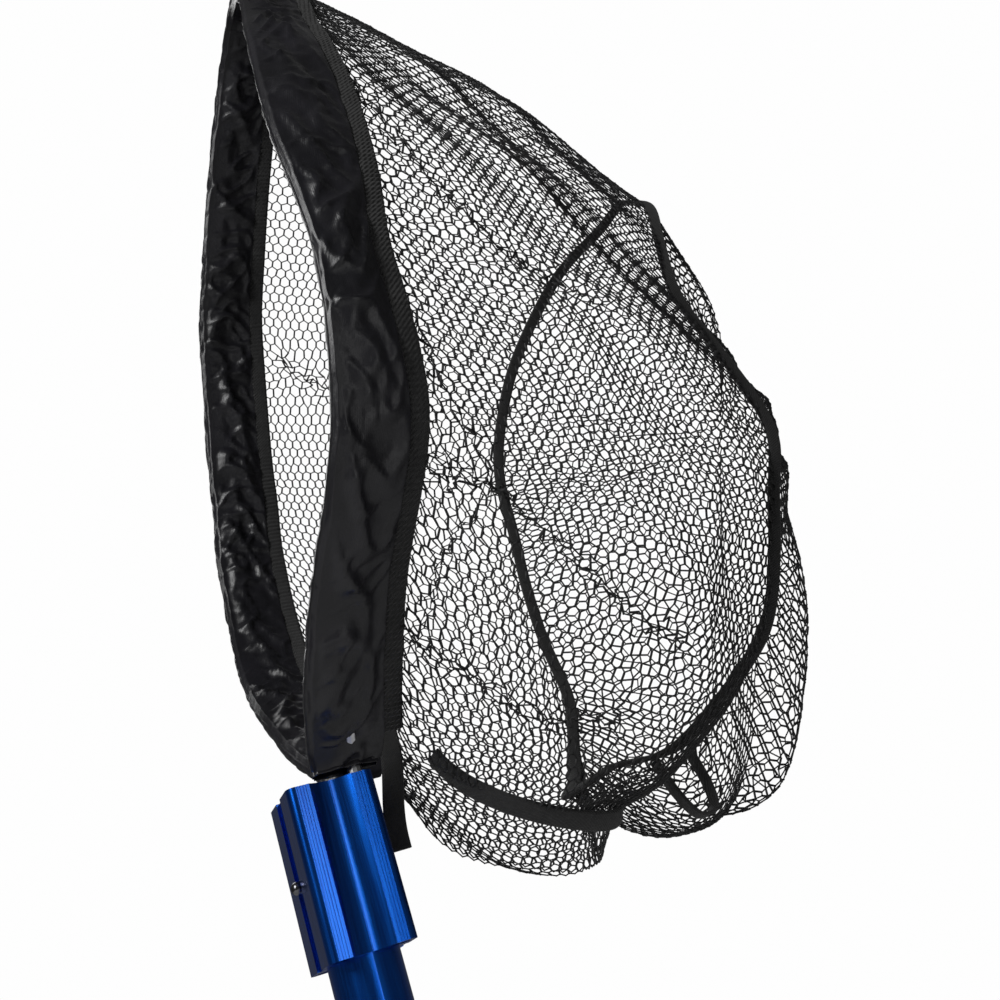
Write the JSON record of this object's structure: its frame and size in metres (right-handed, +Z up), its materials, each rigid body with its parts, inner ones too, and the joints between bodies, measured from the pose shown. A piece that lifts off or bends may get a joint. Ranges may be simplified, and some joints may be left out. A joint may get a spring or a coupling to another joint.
{
  "type": "leaf skimmer net",
  "caption": "Hand net with a leaf-shaped fabric-sleeved hoop, deep knitted mesh bag, extruded blue yoke with spring buttons, and a twist-lock telescopic handle.",
  "frame": {"origin": "centre of the hang hole at the lower end of the handle, on the handle's axis", "axes": "+Z up the handle towards the net, +Y the way the bag hangs, X across the hoop"},
  "size_m": [0.3096, 0.3308, 0.9922],
  "materials": {
    "sleeve_nylon": "satin woven nylon with a soft sheen",
    "seam_strip": "matt overlocked binding",
    "net_mesh": "black knitted hexagonal mesh",
    "binding_tape": "matt woven tape",
    "blue_anodised": "glossy blue anodised",
    "black_anodised": "satin black anodised",
    "rod_aluminium": "bare satin",
    "button_steel": "dark polished steel",
    "spring_steel": "rolled strip",
    "screw_steel": "black oxide",
    "black_plastic": "fine moulded texture",
    "natural_plastic": "natural acetal",
    "grip_foam": "closed-cell foam"
  },
  "bodies": {
    "handle": {"end_cap": "black_plastic", "cap_rivet": "spring_steel", "handle_tube": "black_anodised", "handle_grip": "grip_foam", "lock_base": "black_plastic", "lock_collet": "natural_plastic"},
    "lock_ring": {"lock_nut": "black_plastic"},
    "head": {"pole_tube": "blue_anodised", "tube_guide": "natural_plastic", "yoke": "blue_anodised", "leg_screws": "screw_steel", "hoop_rod": "rod_aluminium", "snap_spring": "spring_steel", "sleeve_near": "sleeve_nylon", "sleeve_far": "sleeve_nylon", "seam_strip_near": "seam_strip", "seam_strip_far": "seam_strip", "net_wall": "net_mesh", "net_end_panel": "net_mesh", "panel_binding": "binding_tape", "gusset_binding": "binding_tape", "seam_tail": "binding_tape", "pull_loop": "binding_tape"},
    "button_left": {"snap_button_left": "button_steel"},
    "button_right": {"snap_button_right": "button_steel"}
  },
  "joints": [
    {"name": "telescope", "type": "slide", "parent": "handle", "child": "head", "axis": [0, 0, 1], "range_m": [0, 0.25]},
    {"name": "lock_twist", "type": "hinge", "parent": "handle", "child": "lock_ring", "pos_m": [0, 0, 0.36], "axis": [0, 0, 1], "range_deg": [0, 90]},
    {"name": "button_left_press", "type": "slide", "parent": "head", "child": "button_left", "axis": [0, 1, 0], "range_m": [0, 0.0045], "stiffness_N_per_m": 900, "deforming": ["snap_spring"]},
    {"name": "button_right_press", "type": "slide", "parent": "head", "child": "button_right", "axis": [0, -1, 0], "range_m": [0, 0.0045], "stiffness_N_per_m": 900, "deforming": ["snap_spring"]}
  ]
}
